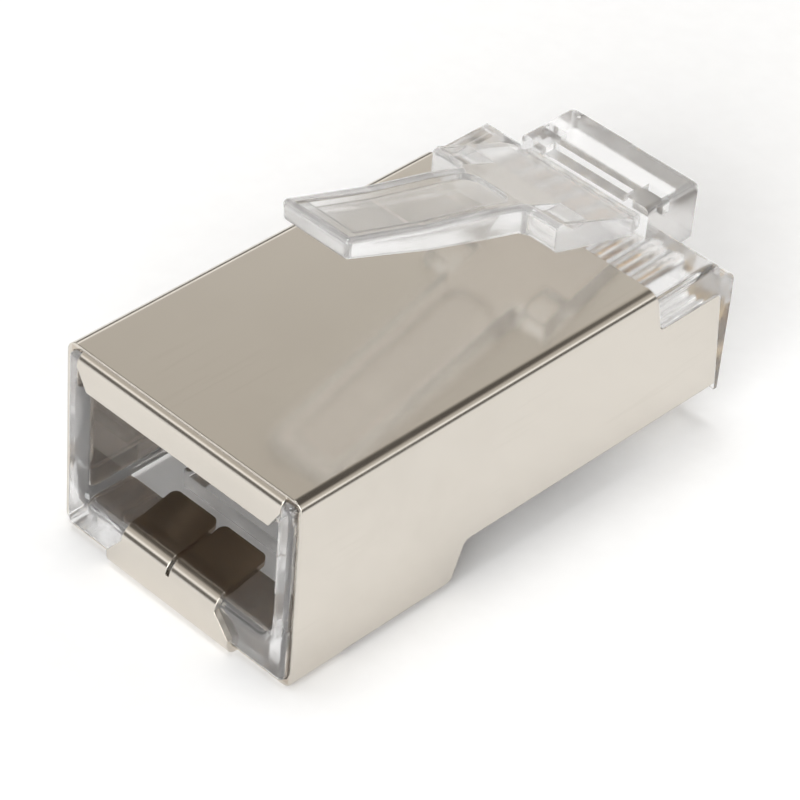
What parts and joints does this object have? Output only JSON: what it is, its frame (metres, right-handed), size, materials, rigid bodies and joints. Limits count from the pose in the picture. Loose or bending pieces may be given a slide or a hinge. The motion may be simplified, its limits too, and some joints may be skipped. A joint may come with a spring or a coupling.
{
  "type": "rj45 modular plug",
  "caption": "Shielded modular plug, not yet crimped: clear housing in a folded metal shield, with contact blades, a cable entry, a strain relief bar and a springy latch.",
  "frame": {"origin": "middle of the plug's length and width, at the underside of the shield's band", "axes": "+Y from the cable entry to the contact nose, +Z towards the latch, +X to the right"},
  "size_m": [0.0116, 0.0234, 0.014],
  "materials": {
    "clear_plastic": "clear polycarbonate, moulded smooth",
    "shield_metal": "bright nickel plate on thin sheet",
    "contact_metal": "gold plate"
  },
  "bodies": {
    "plug": {"housing": "clear_plastic", "shield": "shield_metal", "contact_1": "contact_metal", "contact_2": "contact_metal", "contact_3": "contact_metal", "contact_4": "contact_metal", "contact_5": "contact_metal", "contact_6": "contact_metal", "contact_7": "contact_metal", "contact_8": "contact_metal"},
    "latch_lever": {"latch": "clear_plastic"}
  },
  "joints": [
    {"name": "latch_flex", "type": "hinge", "parent": "plug", "child": "latch_lever", "pos_m": [0, 0.00856, 0.00868], "axis": [1, 0, 0], "range_deg": [0, 15], "stiffness_Nm_per_rad": 0.12}
  ]
}
